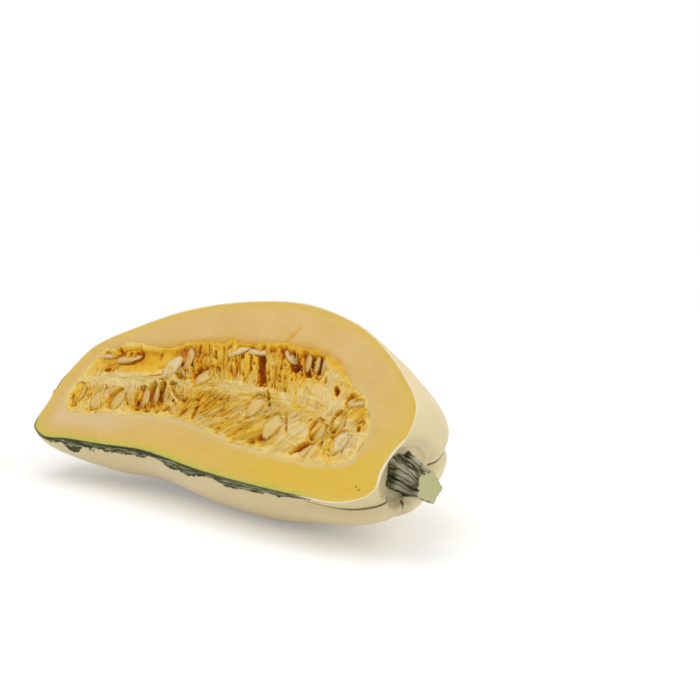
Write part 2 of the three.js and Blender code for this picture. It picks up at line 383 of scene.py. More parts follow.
def skin_point(t, angle):
    """A point of the rind on ring t at an angle.

    A ring is a circle sunk by a bell-shaped furrow at each lobe's edge, flattened front to back
    and bent over at the stem end. On the blossom end stands a low ragged collar, the flower's scar.
    """
    x, radius, rise, depth = np.moveaxis(between_rows(BODY_RINGS, t), -1, 0)
    degrees = np.degrees(angle)
    sunk = 0
    ends = {FURROW_ANGLES[0]: FIRST_FURROW_ENDS, FURROW_ANGLES[-1]: LAST_FURROW_ENDS}
    for centre in FURROW_ANGLES:
        apart = np.mod(degrees - centre + 180, 360) - 180
        faded = 0.9 * smoothstep(x, *ends[centre]) if centre in ends else 0
        sunk = sunk + (bell(apart, FURROW_SPREAD) + 0.13 * bell(apart, 1.6)) * (1 - faded)
    radius = np.maximum(radius, 0)
    r = np.maximum(radius - FURROW_DEPTH * sunk * np.minimum(radius / FURROW_FADE_RADIUS, 1), 0)
    blossom, middle, stem_end = BODY_FLATTENING
    flattening = middle + (stem_end - middle) * smoothstep(x, 10, 90) \
        + (blossom - middle) * smoothstep(x, -35, -80)
    behind = -flattening * r * np.cos(angle)
    bent = behind * smoothstep(x, 30, 90)
    y = rise + r * np.sin(angle) + STEM_END_LIFT * bent
    z = -depth - behind
    spot = stack(x, y, z)
    swell = noise(spot, (0.5, 17, 11), (0.16, 5, 12))
    away = scar_distance(y, z)
    scar = bell(away - SCAR["radius"], 2) * (0.2 + 1.1 * soft_noise(spot, 1.6, 13)) \
        + 0.3 * smoothstep(away, SCAR["radius"] + 1, SCAR["radius"] - 1.5)
    on_end = smoothstep(np.abs(x), 76, 86)
    side = swell * (1 - on_end) * smoothstep(-z, 0, 2)
    x = x + STEM_END_LEAN * bent + np.sign(x) * on_end * swell - scar * blossom_end(x)
    return stack(x, y + side * np.sin(angle), z)


def cavity_point(t, angle):
    """A point of the seed cavity's wall: a flattened ring whose edge is a little uneven."""
    x, radius, rise, depth = np.moveaxis(between_rows(CAVITY_RINGS, t), -1, 0)
    r = np.maximum(radius, 0)
    spot = stack(x, r * np.sin(angle), r * np.cos(angle))
    r = r + noise(spot, (1.5, 7, 21), (0.9, 2.2, 22)) * smoothstep(r, 2, 9)
    return stack(x, rise + r * np.sin(angle), -depth + CAVITY_FLATTENING * r * np.cos(angle))


def open_stretch(place, rings):
    """The first and the last t at which a ringed surface reaches through the cut plane.

    Halves a stretch of t at each end again and again, by the side on which the front point lies.
    """
    found = []
    for low, high in ((0.0, 2.0), (rings - 4.0, rings - 1.0)):
        low_sign = np.sign(place(np.array(low), np.array(0.0))[2])
        for _ in range(HALVINGS):
            middle = (low + high) / 2
            if np.sign(place(np.array(middle), np.array(0.0))[2]) == low_sign:
                low = middle
            else:
                high = middle
        found.append((low + high) / 2)
    return found


def where_arc_meets_cut(place, t, side):
    """For each ring t, the angle on one side (1 up, -1 down) at which it meets the cut plane.

    Halves the range of angles again and again, for all rings at once.
    """
    near, far = np.zeros_like(t), np.full_like(t, np.pi)
    for _ in range(HALVINGS):
        middle = (near + far) / 2
        outside = place(t, side * middle)[..., 2] > 0
        near = np.where(outside, middle, near)
        far = np.where(outside, far, middle)
    return side * (near + far) / 2


def shell_behind_cut(place, rings, open_rows, cap_rows, columns):
    """The part of a ringed surface behind the cut plane, as a grid of points.

    Rows run from pole to pole. Where the rings reach through the cut, a row is the arc from its
    upper crossing round the back to its lower one, and rows stand closer near both ends of that
    stretch, by a cosine. Beyond it a row is a whole ring. Also gives t and the angle of each point,
    and which rows are open.
    """
    last = rings - 1
    start, stop = open_stretch(place, rings)
    fine = np.linspace(start, stop, 1500)[1:-1]
    edge = place(fine, where_arc_meets_cut(place, fine, 1.0))
    length = np.concatenate([[0], np.cumsum(np.linalg.norm(np.diff(edge, axis=0), axis=1))])
    share = (1 - np.cos(np.pi * np.linspace(0, 1, open_rows))) / 2
    share = 0.55 * share + 0.45 * np.linspace(0, 1, open_rows)
    opened = np.interp(share * length[-1], length, fine)
    opened[0], opened[-1] = start, stop
    before = start * np.sin(np.linspace(0, np.pi / 2, cap_rows + 1))[:-1]
    after = last - (last - stop) * np.sin(np.linspace(np.pi / 2, 0, cap_rows + 1))[1:]
    t = np.concatenate([before, opened, after])
    upper = where_arc_meets_cut(place, opened, 1.0)
    lower = where_arc_meets_cut(place, opened, -1.0)
    upper[[0, -1]] = lower[[0, -1]] = 0
    none = np.zeros(cap_rows)
    first = np.concatenate([none, upper, none])[:, None]
    final = 2 * np.pi + np.concatenate([none, lower, none])[:, None]
    angle = first + (final - first) * np.linspace(0, 1, columns)
    t = t[:, None] + np.zeros(columns)
    points = place(t, angle)
    # The open rows end exactly in the cut, a pole is one point, and a whole ring closes on itself.
    rows = slice(cap_rows, cap_rows + open_rows)
    points[rows, 0, 2] = points[rows, -1, 2] = 0
    points[[0, -1]] = points[[0, -1], :1]
    points[: cap_rows + 1, -1] = points[: cap_rows + 1, 0]
    points[cap_rows + open_rows - 1:, -1] = points[cap_rows + open_rows - 1:, 0]
    return points, t, angle, rows


# ---------------------------------------------------------------- shapes of the pulp

def cord_rise(x):
    """How high the cord of pulp that the seeds hang from runs across the cut at x: a parabola."""
    return 17 - 12 * ((x - 5) / 80) ** 2


def fibre_lean(x, above):
    """How far a fibre at x leans, above the cord or below it."""
    return np.where(above, np.interp(x, FIBRE_X, FIBRE_LEAN_ABOVE),
                    np.interp(x, FIBRE_X, FIBRE_LEAN_BELOW))


def fibre_place(x, y):
    """Where a point lies among the fibres: along the cord to its fibre's foot, and away from it.

    A fibre leaves the cord in a straight line that leans by the table, and wavers by soft noise.
    """
    out = y - cord_rise(x)
    waver = noise(flat(x, y), (1.8, 8, 41), (0.6, 2.6, 42))
    return x - fibre_lean(x, out > 0) * np.abs(out) + waver * smoothstep(np.abs(out), 0, 4), out


def torn_share(x, out):
    """How torn the pulp is at x and so far from the cord."""
    above = np.interp(x, TORN_ABOVE_X, TORN_ABOVE) * smoothstep(out, 1.5, 6)
    below = np.interp(x, TORN_BELOW_X, TORN_BELOW) * smoothstep(-out, 1, 4)
    return np.where(out > 0, above, below)


def in_seed_plan(x, y):
    """How each seed lies over points: the distance from its middle as a share of its outline seen
    from in front of the cut (1 on the outline), its middle's z, and half its height, per seed."""
    sx, sy, turn, roll, below, *_ = columns_of(SEEDS, x)
    u, v = turned(x - sx, y - sy, np.radians(90 - turn))
    roll = np.radians(roll)
    length, width, thickness = SEED_SIZE / 2
    across = np.hypot(width * np.cos(roll), thickness * np.sin(roll))
    half = np.hypot(width * np.sin(roll), thickness * np.cos(roll))
    return np.hypot(u / length, v / across), -below - half, half


def pit_drop(x, y):
    """How far the torn pits sink the pulp at points: each an ellipse with steep sides."""
    px, py, length, width, depth, lean = columns_of(PITS, x)
    u, v = turned(x - px, y - py, np.radians(90 - lean))
    share = np.hypot(u / length, v / width) + noise(flat(x, y), (0.5, 1.5, 40))
    return np.max(depth * smoothstep(share, 1.3, 0.5), axis=0)


def chamber_share(x, y):
    """1 in the middle of the empty chamber, falling off as a bell along it and across it."""
    axis = CHAMBER["y"] + CHAMBER["slope"] * (x - CHAMBER["x"])
    return bell(x - CHAMBER["x"], CHAMBER["length"]) * bell(y - axis, CHAMBER["width"])


def with_seed_beds(height, x, y, drawn):
    """The pulp's height with the seeds pressed into it.

    Each lies in a moat, a bell round its outline that is deeper on one side. Under the seed the
    pulp keeps off its lower half, and films, where soft noise is high enough, lap over its top,
    an ellipse's arc.
    """
    share, middle, half = in_seed_plan(x, y)
    sx, sy, *_, cover = columns_of(SEEDS, x)
    side = (x - sx) * 0.9 - (y - sy) * 0.4 + noise(flat(x, y), (3, 2.2, 52))
    moat = bell(share - 1.1, 0.12) * smoothstep(share, 0.9, 1) * smoothstep(side, 0.3, 3)
    height = height - 1.4 * np.max(moat, axis=0)
    film = soft_noise(drawn, [1.6, 4, 9], 53)
    covered = smoothstep(film[None] - 0.8 + cover * 0.75, -0.04, 0.04)
    top = middle + half * np.sqrt(np.clip(1 - share ** 2, 0, 1))
    bed = np.where(share < 0.9, middle - 0.3 + covered * (top - middle + 0.45), -DEEPEST)
    height = np.minimum(height, np.min(bed, axis=0))
    lifted = np.where(share < 1.1, covered * smoothstep(share, 1.1, 0.8), 0)
    raised = (np.where(share < 1.1, top + 0.15, DEEPEST) - height) * lifted
    return height + np.max(raised, axis=0, initial=0)


def pulp_surface(x, y):
    """Height of the pulp's face over the cut plane, and its tone from 0, dark, to 1, pale.

    A matted sheet just under the cut, with fine crests along the fibres. Where it is torn, narrow
    slits open between fibres: noise drawn out along them, wherever it crosses its middle value.
    Seeds are pressed into it, and torn pits drop away. What is sunk is dark and orange, and what
    stands up is pale: partly the wet pulp's own deeper orange, and partly painted shade in the
    hollows and painted highlight on the crests and lumps.
    """
    fibre, out = fibre_place(x, y)
    torn = torn_share(x, out)
    spot, drawn, lengthwise = flat(x, y), flat(fibre, out), flat(x, out, 9)
    on_cord = smoothstep(np.abs(out), 4.4, 2.2 + 3 * bell(x - 40, 20))
    chamber = chamber_share(x, y)
    rough = 1 - smoothstep(chamber, 0.2, 0.6)

    lumps = noise(spot, (0.6, 6, 43), (0.36, 2.2, 44), (0.16, 1.1, 58))
    crest = 0.55 * ridges(drawn, [1.3, 4.5, 9], 45) + 0.45 * ridges(drawn, [0.65, 2.6, 9], 46)
    along = 0.6 * ridges(lengthwise, [9, 1.7, 9], 47) + 0.4 * ridges(lengthwise, [5, 0.8, 9], 48)
    crest = (crest + (along - crest) * on_cord - 0.5) * (0.35 + 0.65 * rough)
    wide = bell(2 * soft_noise(drawn, [1.8, 5.5, 9], 49) - 1, 0.08 + 0.16 * torn)
    where = smoothstep(soft_noise(spot, 5, 50) + 0.5 * torn, 0.6, 0.95)
    narrow = bell(2 * soft_noise(drawn, [1.0, 3.4, 9], 51) - 1, 0.16)
    slit = wide * where * (0.2 + 1.5 * torn) + narrow * 0.5 * (0.15 + torn)
    holes = smoothstep(soft_noise(drawn, [1, 2.6, 9], 62), 0.74, 0.9)
    slit = slit + holes * (0.3 + 1.5 * torn)
    slit = slit * rough * (1 - 0.8 * on_cord)
    height = -0.3 + 0.1 * on_cord + lumps + (0.45 + 0.3 * torn) * crest - slit \
        - CHAMBER["depth"] * chamber

    height = with_seed_beds(height, x, y, drawn)
    height = np.minimum(height - pit_drop(x, y), 0.1)
    # Behind the chamber the pulp is a smooth shallow pad of juice, with no deep hollows.
    pad = smoothstep(bell(x + 37, 8) * bell(y - 28, 5), 0.15, 0.45)
    height = np.maximum(height, DEEPEST + 7.7 * pad)

    # Painted shade and highlight: the tone darkens and turns orange with depth under the sheet,
    # where shade falls, and is paler on crests and lumps; partly it is the wet pulp's own deeper
    # orange.
    sunk = np.maximum(-0.55 - height - CHAMBER["depth"] * chamber, 0)
    standing = np.exp(-sunk / 0.9)
    tone = 0.2 + standing * (0.5 + 0.34 * crest + 0.22 * on_cord) \
        + noise(spot, (0.3, 8, 59)) + 0.14 * lumps - 0.06 * chamber \
        - 0.1 * smoothstep(out, 4, 9)
    for sx, sy, length, width, change in STAINS:
        tone = tone + change * bell(x - sx, length) * bell(y - sy, width)
    return height, tone


# ---------------------------------------------------------------- meshes

def grid_faces(rows, columns, first):
    """Quads over a grid of points that are numbered row by row."""
    at = first + np.arange(rows * columns).reshape(rows, columns)
    return stack(at[:-1, :-1], at[1:, :-1], at[1:, 1:], at[:-1, 1:]).reshape(-1, 4)


def joined(values, grids):
    """Vectors or numbers given grid by grid, as one row per point. One number fills a grid."""
    return np.concatenate([
        value.reshape(-1, value.shape[-1]) if np.ndim(value) == 3
        else np.broadcast_to(value, grid.shape[:2]).ravel() for value, grid in zip(values, grids)])


def new_object(name, data):
    """An object that holds this data, linked into the scene."""
    made = bpy.data.objects.new(name, data)
    bpy.context.scene.collection.objects.link(made)
    return made


def finish_piece(name, grids, materials, numbers=(), uv=None, wears=None, nodes=(),
                 crease=40):
    """Makes a piece from grids of fruit points, with its attributes, and puts it on the root.

    Numbers, the map and the material worn are given grid by grid. Doubles are merged, faces turned
    outwards and edges sharper than the crease kept sharp.
    """
    mesh = bpy.data.meshes.new(name)
    place = to_row_frame(joined(grids, grids))
    place[:, 2] = np.maximum(place[:, 2], TABLE_GAP)
    first = np.cumsum([0, *(grid[..., 0].size for grid in grids)])
    quads = [grid_faces(*grid.shape[:2], start) for grid, start in zip(grids, first)]
    mesh.from_pydata(place.tolist(), [], np.concatenate(quads).tolist())
    for material in materials:
        mesh.materials.append(material)
    if wears is not None:
        worn = np.repeat(wears, [len(quad) for quad in quads])
        mesh.polygons.foreach_set("material_index", worn)
    for label, values in {"fruit_mm": grids, **dict(numbers)}.items():
        values = joined(values, grids)
        kind = "FLOAT" if values.ndim == 1 else "FLOAT_VECTOR"
        layer = mesh.attributes.new(label, kind, "POINT")
        layer.data.foreach_set("value" if kind == "FLOAT" else "vector",
                               values.astype(np.float32).ravel())
    if uv is not None:
        corner = np.empty(len(mesh.loops), np.int32)
        mesh.loops.foreach_get("vertex_index", corner)
        layer = mesh.uv_layers.new(name="OFBake")
        layer.uv.foreach_set("vector", joined(uv, grids).astype(np.float32)[corner].ravel())
    work = bmesh.new()
    work.from_mesh(mesh)
    bmesh.ops.remove_doubles(work, verts=work.verts, dist=MERGE_DISTANCE)
    bmesh.ops.recalc_face_normals(work, faces=work.faces)
    work.to_mesh(mesh)
    work.free()
    mesh.shade_smooth()
    mesh.set_sharp_from_angle(angle=math.radians(crease))
    piece = new_object(name, mesh)
    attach(piece, "root")
    if nodes:
        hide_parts(*nodes)


def strand_tubes(paths, width, thickness, tone):
    """Flat tapering fibres along paths (strands, points, 3), each as a grid with its UV map.

    Each point of a path carries a diamond of four, width across and thickness deep, and its two
    ends are diamonds shrunk to a point. u holds the strand's tone plus a sliver round it, and v
    runs along it, so a colour that depends on both can be read back from the map.
    """
    tangent = np.gradient(paths, axis=1)
    tangent /= np.linalg.norm(tangent, axis=2, keepdims=True) + 1e-9
    side = np.cross(tangent, [0.0, 0.0, 1.0])
    side /= np.linalg.norm(side, axis=2, keepdims=True) + 1e-9
    lift = np.cross(side, tangent)
    v = np.linspace(0, 1, paths.shape[1])
    taper = (np.sin(np.pi * v) ** 0.5)[None, :, None]
    across = side * width[:, None, None] / 2 * taper
    through = lift * thickness[:, None, None] / 2 * taper
    ring = np.stack([paths + across, paths + through, paths - across, paths - through,
                     paths + across], 2)
    u = 0.01 + 0.95 * tone[:, None, None] + 0.03 * np.array([0, 0.25, 0.5, 0.75, 1])
    return ring, stack(u, v[None, :, None])


# ---------------------------------------------------------------- materials

def linear(code):
    """An sRGB hex colour as linear red, green and blue."""
    channels = [int(code[i:i + 2], 16) / 255 for i in (1, 3, 5)]
    return tuple(c / 12.92 if c <= 0.04045 else ((c + 0.055) / 1.055) ** 2.4 for c in channels)


def rgba(colour):
    """A colour with full alpha, from a hex code or three linear numbers."""
    return (*(linear(colour) if isinstance(colour, str) else tuple(colour)), 1.0)


def add(tree, kind, sockets=(), output=0, stops=(), **settings):
    """Adds a shader node with its settings and returns one of its outputs, or the node if it has
    none. Its sockets, in order or by name or number, are linked or filled. A colour is a hex code
    or three linear numbers, and stops are the places and colours of a ramp."""
    made = tree.nodes.new("ShaderNode" + kind)
    for label, value in settings.items():
        setattr(made, label, value)
    while stops and len(made.color_ramp.elements) < len(stops):
        made.color_ramp.elements.new(0.5)
    for number, (position, colour) in enumerate(stops):
        made.color_ramp.elements[number].position = position
        made.color_ramp.elements[number].color = rgba(colour)
    named = sockets if isinstance(sockets, dict) else dict(enumerate(sockets))
    for key, value in named.items():
        socket = made.inputs[key]
        if isinstance(value, bpy.types.NodeSocket):
            tree.links.new(value, socket)
        else:
            socket.default_value = rgba(value) if socket.type == "RGBA" else value
    return made.outputs[output] if len(made.outputs) else made


def blank_material(name):
    """A material with an empty node tree."""
    material = bpy.data.materials.new(name)
    material.use_nodes = True
    material.node_tree.nodes.clear()
    return material, material.node_tree


def rind_material(colours):
    """Ripe squash rind: a hard waxed skin, so highlights are soft and wide.

    Cream with slow warm clouds, ragged dark green in the furrows where chlorophyll stays longest,
    a thin olive line in the bottom of each furrow, and grey-brown cork at the blossom scar. Along
    the furrows' sides the cream turns darker, partly the rind's own yellow-green tint and partly
    painted shade in the valleys, and towards the stem it turns a greyer cream, painted shade where
    the rind dips into the stem's pit.
    """
    material, tree = blank_material("waxy_squash_rind")
    place = add(tree, "Attribute", output=1, attribute_name="fruit_mm")
    margin, furrow, below, scar = (
        add(tree, "Attribute", output=2, attribute_name=name)
        for name in ("stripe_margin", "furrow_mm", "below_edge_mm", "scar"))
    drawn, streaked = (add(tree, "VectorMath", (place, scale), operation="MULTIPLY")
                       for scale in ((0.3, 1.0, 1.0), (0.12, 1.0, 1.0)))
    clouds, coarse, fine, streaks = (
        add(tree, "TexNoise", {"Vector": spot, "Scale": scale, "Detail": detail})
        for spot, scale, detail in ((drawn, 0.09, 3.0), (drawn, 0.42, 2.0), (place, 1.1, 3.0),
                                    (streaked, 1.3, 3.0)))
    groove, cut_edge, edge = (
        add(tree, "Math", sockets, operation="MULTIPLY_ADD")
        for sockets in ((fine, 0.3, furrow), (coarse, 1.6, below), (coarse, 3.8, margin)))
    edge = add(tree, "Math", (fine, 2.4, edge), operation="MULTIPLY_ADD")
    corky = add(tree, "Math", (fine, scar), operation="MULTIPLY")
    along = add(tree, "SeparateXYZ", (place,))
    # Painted shade: from x 72 to 88 the cream turns greyer, standing for the shade where the rind
    # dips into the stem's pit.
    by_stem, sides, line, cut_line, green, rim, cork = (
        add(tree, "MapRange", (value, start, stop, 0.0, top), interpolation_type="SMOOTHSTEP")
        for value, start, stop, top in (
            (along, 72.0, 88.0, 0.6), (furrow, 8.0, 0.5, 0.3), (groove, 0.84, 0.56, 0.9),
            (cut_edge, 1.5, 1.15, 0.95), (edge, 2.85, 3.15, 1.0), (edge, 3.8, 3.0, -0.14),
            (corky, 0.2, 0.45, 1.0)))
    streaks = add(tree, "Math", (streaks, rim), operation="ADD")
    leaf = add(tree, "ValToRGB", (streaks,), stops=(
        (0.36, colours.stripe), (0.46, colours.stripe_light), (0.54, "#7d7e58"), (0.64, "#a6a686")))
    skin = colours.rind
    # Painted shade: along the furrows' sides the cream turns darker, partly the rind's own
    # yellow-green tint and partly painted shade in the valleys.
    for share, colour in ((clouds, colours.rind_warm), (by_stem, "#e4d8ac"), (sides, "#cdbd88"),
                          (line, "#57481e"), (green, leaf), (cut_line, colours.stripe),
                          (cork, "#6b4f4c")):
        skin = add(tree, "Mix", {0: share, 6: skin, 7: colour}, 2, data_type="RGBA")
    gloss = add(tree, "MapRange", {"Value": green, "To Min": 0.45, "To Max": 0.12})
    relief = add(tree, "Math", (green, -0.6, fine), operation="MULTIPLY_ADD")
    bump = add(tree, "Bump", {"Strength": 0.35, "Distance": 0.00016, "Height": relief})
    shader = add(tree, "BsdfPrincipled", {
        "Base Color": skin, "Roughness": 0.36, "IOR": 1.45, "Normal": bump,
        "Specular IOR Level": gloss, "Subsurface Weight": 0.15,
        "Subsurface Radius": (1.0, 0.6, 0.25), "Subsurface Scale": 0.002})
    add(tree, "OutputMaterial", {"Surface": shader})
    return material


def flesh_material(colours):
    """Raw squash flesh cut with a knife: dense and a little wet, so light goes in and comes back
    softened. Peach yellow, yellower and then green towards the rind, orange by the seed cavity."""
    material, tree = blank_material("cut_squash_flesh")
    place = add(tree, "Attribute", output=1, attribute_name="fruit_mm")
    rim, core, green, gold, glow, crack, scar, blush, dark = (
        add(tree, "Attribute", output=2, attribute_name=name)
        for name in ("rim_mm", "core_mm", "green_rim", "gold", "orange_core", "crack", "scar",
                     "blush", "green_edge"))
    dragged = add(tree, "VectorMath", (place, (0.06, 1.0, 1.0)), operation="MULTIPLY")
    clouds, mottle, grain, drag = (
        add(tree, "TexNoise", {"Vector": spot, "Scale": scale, "Detail": detail})
        for spot, scale, detail in ((place, 0.06, 4.0), (place, 0.35, 4.0), (place, 1.6, 4.0),
                                    (dragged, 0.9, 2.0)))
    clouds = add(tree, "MapRange", (clouds, 0.35, 0.65))
    rim_soft, core_soft, thin, relief = (
        add(tree, "Math", sockets, operation="MULTIPLY_ADD")
        for sockets in ((mottle, 5.0, rim), (mottle, 4.0, core), (mottle, 0.5, rim),
                        (drag, 0.8, grain)))
    # The cut edge of the rind itself, hard, is under a millimetre thick.
    yellow, leaf, pale, warm, hard = (
        add(tree, "MapRange", (value, start, stop, 0.0, top), interpolation_type="SMOOTHSTEP")
        for value, start, stop, top in (
            (rim_soft, 9.0, 3.0, 0.75), (rim_soft, 6.4, 2.8, 1.0), (core_soft, 5.5, 2.0, 0.7),
            (core_soft, 6.4, 2.4, 1.0), (thin, 0.95, 0.6, 1.0)))
    leaf, warm = (add(tree, "Math", pair, operation="MULTIPLY")
                  for pair in ((leaf, green), (warm, glow)))
    warm = add(tree, "Math", (warm, crack), operation="MAXIMUM")
    # Two brown specks by the stem.
    specks = []
    for spot in ((77.4, -10.2, 0), (79.3, -11.1, 0)):
        away = add(tree, "VectorMath", (place, spot), "Value", operation="DISTANCE")
        specks.append((add(tree, "MapRange", (away, 0.6, 0.3, 0.0, 0.8)), "#6a5a12"))
    edge = "#f6e9c8"
    for share, colour in ((dark, "#4c5020"), (scar, "#7c5a50")):
        edge = add(tree, "Mix", {0: share, 6: edge, 7: colour}, 2, data_type="RGBA")
    flesh = colours.flesh
    for share, colour in ((clouds, colours.flesh_deep), (gold, "#e6bd36"), (blush, "#e6c590"),
                          (yellow, "#e4c04a"), (leaf, "#c6bf45"), (pale, "#e8cf96"),
                          (warm, "#dca018"), *specks, (hard, edge)):
        flesh = add(tree, "Mix", {0: share, 6: flesh, 7: colour}, 2, data_type="RGBA")
    bump = add(tree, "Bump", {"Strength": 0.3, "Distance": 0.00025, "Height": relief})
    shader = add(tree, "BsdfPrincipled", {
        "Base Color": flesh, "Roughness": 0.42, "IOR": 1.38, "Normal": bump,
        "Subsurface Weight": 0.22, "Subsurface Radius": (1.0, 0.55, 0.2),
        "Subsurface Scale": 0.0035})
    add(tree, "OutputMaterial", {"Surface": shader})
    return material


def pulp_material(colours):
    """Wet squash pulp: fibres matted in juice, so small sharp glints over a yellow that glows. The
    tone runs from the red-brown dark of a torn pit through orange and yellow to pale dry fibre.

    Fine hairs, drawn out along the fibres, are a few tenths of a millimetre apart. The tone's
    dark end is partly painted shade in the pulp's hollows, and its pale end partly painted
    highlight on crests.
    """
    material, tree = blank_material("wet_squash_pulp")
    place, fibre, tone, hairy = (
        add(tree, "Attribute", output=output, attribute_name=name)
        for output, name in ((1, "fruit_mm"), (1, "fibre_mm"), (2, "tone"), (2, "hairy")))
    drawn = add(tree, "VectorMath", (fibre, (1.0, 0.3, 1.0)), operation="MULTIPLY")
    hairs, speck = (add(tree, "TexNoise", {"Vector": spot, "Scale": scale, "Detail": detail})
                    for spot, scale, detail in ((drawn, 2.0, 3.0), (place, 0.7, 4.0)))
    grain = add(tree, "Math", (speck, hairs), operation="ADD")
    grain = add(tree, "Math", (grain, 1.0), operation="SUBTRACT")
    tone = add(tree, "Math", (grain, hairy, tone), operation="MULTIPLY_ADD")
    colour = add(tree, "ValToRGB", (tone,), stops=(
        (0.05, "#b45c0a"), (0.22, "#d67e06"), (0.4, colours.pulp), (0.58, "#edb926"),
        (0.76, "#f1c850"), (0.95, "#f4d890")))
    relief = add(tree, "Math", (grain, hairy), operation="MULTIPLY")
    bump = add(tree, "Bump", {"Strength": 0.5, "Distance": 0.0012, "Height": relief})
    shader = add(tree, "BsdfPrincipled", {
        "Base Color": colour, "Roughness": 0.34, "Specular IOR Level": 0.12, "Normal": bump,
        "Subsurface Weight": 0.25, "Subsurface Radius": (1.0, 0.55, 0.15),
        "Subsurface Scale": 0.002})
    add(tree, "OutputMaterial", {"Surface": shader})
    return material


def fibre_material(colours):
    """Single wet pulp fibres. The colour is read from the fibre's own map: across it by tone,
    and a little more orange where a fibre grows out of the sheet at its two ends."""
    material, tree = blank_material("wet_pulp_fibres")
    spot = add(tree, "UVMap", uv_map="OFBake")
    tone, along = (add(tree, "SeparateXYZ", (spot,), axis) for axis in (0, 1))
    ends = add(tree, "Math", (along, 0.5), operation="SUBTRACT")
    ends = add(tree, "Math", (ends,), operation="ABSOLUTE")
    ends = add(tree, "MapRange", (ends, 0.3, 0.5, 0.0, -0.14))
    tone = add(tree, "Math", (tone, ends), operation="ADD")
    colour = add(tree, "ValToRGB", (tone,), stops=(
        (0.0, "#c87a08"), (0.3, "#dea012"), (0.55, colours.fibre), (0.78, "#f2c854"),
        (1.0, "#f6da94")))
    shader = add(tree, "BsdfPrincipled", {
        "Base Color": colour, "Roughness": 0.3, "Specular IOR Level": 0.2,
        "Subsurface Weight": 0.2, "Subsurface Radius": (1.0, 0.55, 0.2),
        "Subsurface Scale": 0.001})
    add(tree, "OutputMaterial", {"Surface": shader})
    return material


def seed_material(colours):
    """Fresh squash seed in its wet cellulose coat: cream, smooth and slightly glossy, with a
    raised margin round it that is a little darker. Some coats have dried white."""
    material, tree = blank_material("fresh_seed_coat")
    place = add(tree, "Attribute", output=1, attribute_name="fruit_mm")
    margin, white = (add(tree, "Attribute", output=2, attribute_name=name)
                     for name in ("margin", "white"))
    cloud, grain = (add(tree, "TexNoise", {"Vector": place, "Scale": scale, "Detail": 3.0})
                    for scale in (0.45, 1.8))
    stain = add(tree, "MapRange", (cloud, 0.5, 0.75, 0.0, 0.5))
    edge = add(tree, "Math", (margin, 0.5), operation="MULTIPLY")
    coat = colours.seed
    for share, colour in ((white, "#e6d3a8"), (stain, "#d3a948"), (edge, "#c59c48")):
        coat = add(tree, "Mix", {0: share, 6: coat, 7: colour}, 2, data_type="RGBA")
    bump = add(tree, "Bump", {"Strength": 0.25, "Distance": 0.0001, "Height": grain})
    shader = add(tree, "BsdfPrincipled", {
        "Base Color": coat, "Roughness": 0.36, "IOR": 1.42, "Normal": bump,
        "Subsurface Weight": 0.2, "Subsurface Radius": (1.0, 0.7, 0.4),
        "Subsurface Scale": 0.0012})
    add(tree, "OutputMaterial", {"Surface": shader})
    return material


def stem_material(colours):
    """Woody squash stalk: dry bark in lengthwise ribs, silver grey on the crests and dark olive
    in the grooves, dull all over. The fresh cut at its end is pale, smooth and olive cream."""
    material, tree = blank_material("woody_squash_stem")
    place = add(tree, "Attribute", output=1, attribute_name="fruit_mm")
    crest, cut = (add(tree, "Attribute", output=2, attribute_name=name)
                  for name in ("crest", "cut"))
    drawn = add(tree, "VectorMath", (place, (0.3, 1.6, 1.6)), operation="MULTIPLY")
    streak, speck = (add(tree, "TexNoise", {"Vector": spot, "Scale": scale, "Detail": detail})
                     for spot, scale, detail in ((drawn, 0.9, 4.0), (place, 0.7, 3.0)))
    # The crest number also holds painted light: a lighter and a darker side, and painted shade at
    # the foot.
    tone = add(tree, "Math", (streak, 0.5, crest), operation="MULTIPLY_ADD")
    bark = add(tree, "ValToRGB", (tone,), stops=(
        (0.22, "#24220f"), (0.45, "#575230"), (0.66, colours.stem), (0.92, "#b4b09e")))
    wood = add(tree, "Mix", {0: speck, 6: "#cbc795", 7: "#b6b47e"}, 2, data_type="RGBA")
    colour = add(tree, "Mix", {0: cut, 6: bark, 7: wood}, 2, data_type="RGBA")
    bump = add(tree, "Bump", {"Strength": 0.6, "Distance": 0.0004, "Height": streak})
    shader = add(tree, "BsdfPrincipled", {
        "Base Color": colour, "Roughness": 0.6, "IOR": 1.45, "Normal": bump})
    add(tree, "OutputMaterial", {"Surface": shader})
    return material


def seen_ray(tree):
    """1 where a ray comes from the camera or through a mirror or glass, and 0 elsewhere."""
    path = tree.nodes.new("ShaderNodeLightPath").outputs
    seen = path["Is Camera Ray"]
    for ray in ("Is Glossy Ray", "Is Transmission Ray"):
        seen = add(tree, "Math", (seen, path[ray]), operation="MAXIMUM")
    return seen


def table_material():
    """A plain pale table. It shows white to the camera away from the object, and takes the
    object's shadow near it."""
    material, tree = blank_material("plain_pale_table")
    spot = add(tree, "TexCoord", output="Object")
    away = add(tree, "VectorMath", (spot,), "Value", operation="LENGTH")
    far = add(tree, "MapRange", (away, 0.16, 0.42), interpolation_type="SMOOTHSTEP")
    seen = seen_ray(tree)
    far, lift = (add(tree, "Math", pair, operation="MULTIPLY")
                 for pair in ((far, seen), (seen, 0.25)))
    plain = add(tree, "BsdfDiffuse", ("#f7f7f7",))
    faint, white = (add(tree, "Emission", ("#ffffff", strength)) for strength in (lift, 1.0))
    near = add(tree, "AddShader", (plain, faint))
    surface = add(tree, "MixShader", (far, near, white))
    add(tree, "OutputMaterial", (surface,))
    return material


# ---------------------------------------------------------------- pieces

def uv_band(grid, length, start, span):
    """A map of a grid of points: u along the fruit, v evenly over the columns from start."""
    across = start + span * np.linspace(0, 1, grid.shape[1])
    return stack(grid[..., 0] / length + 0.5, across)


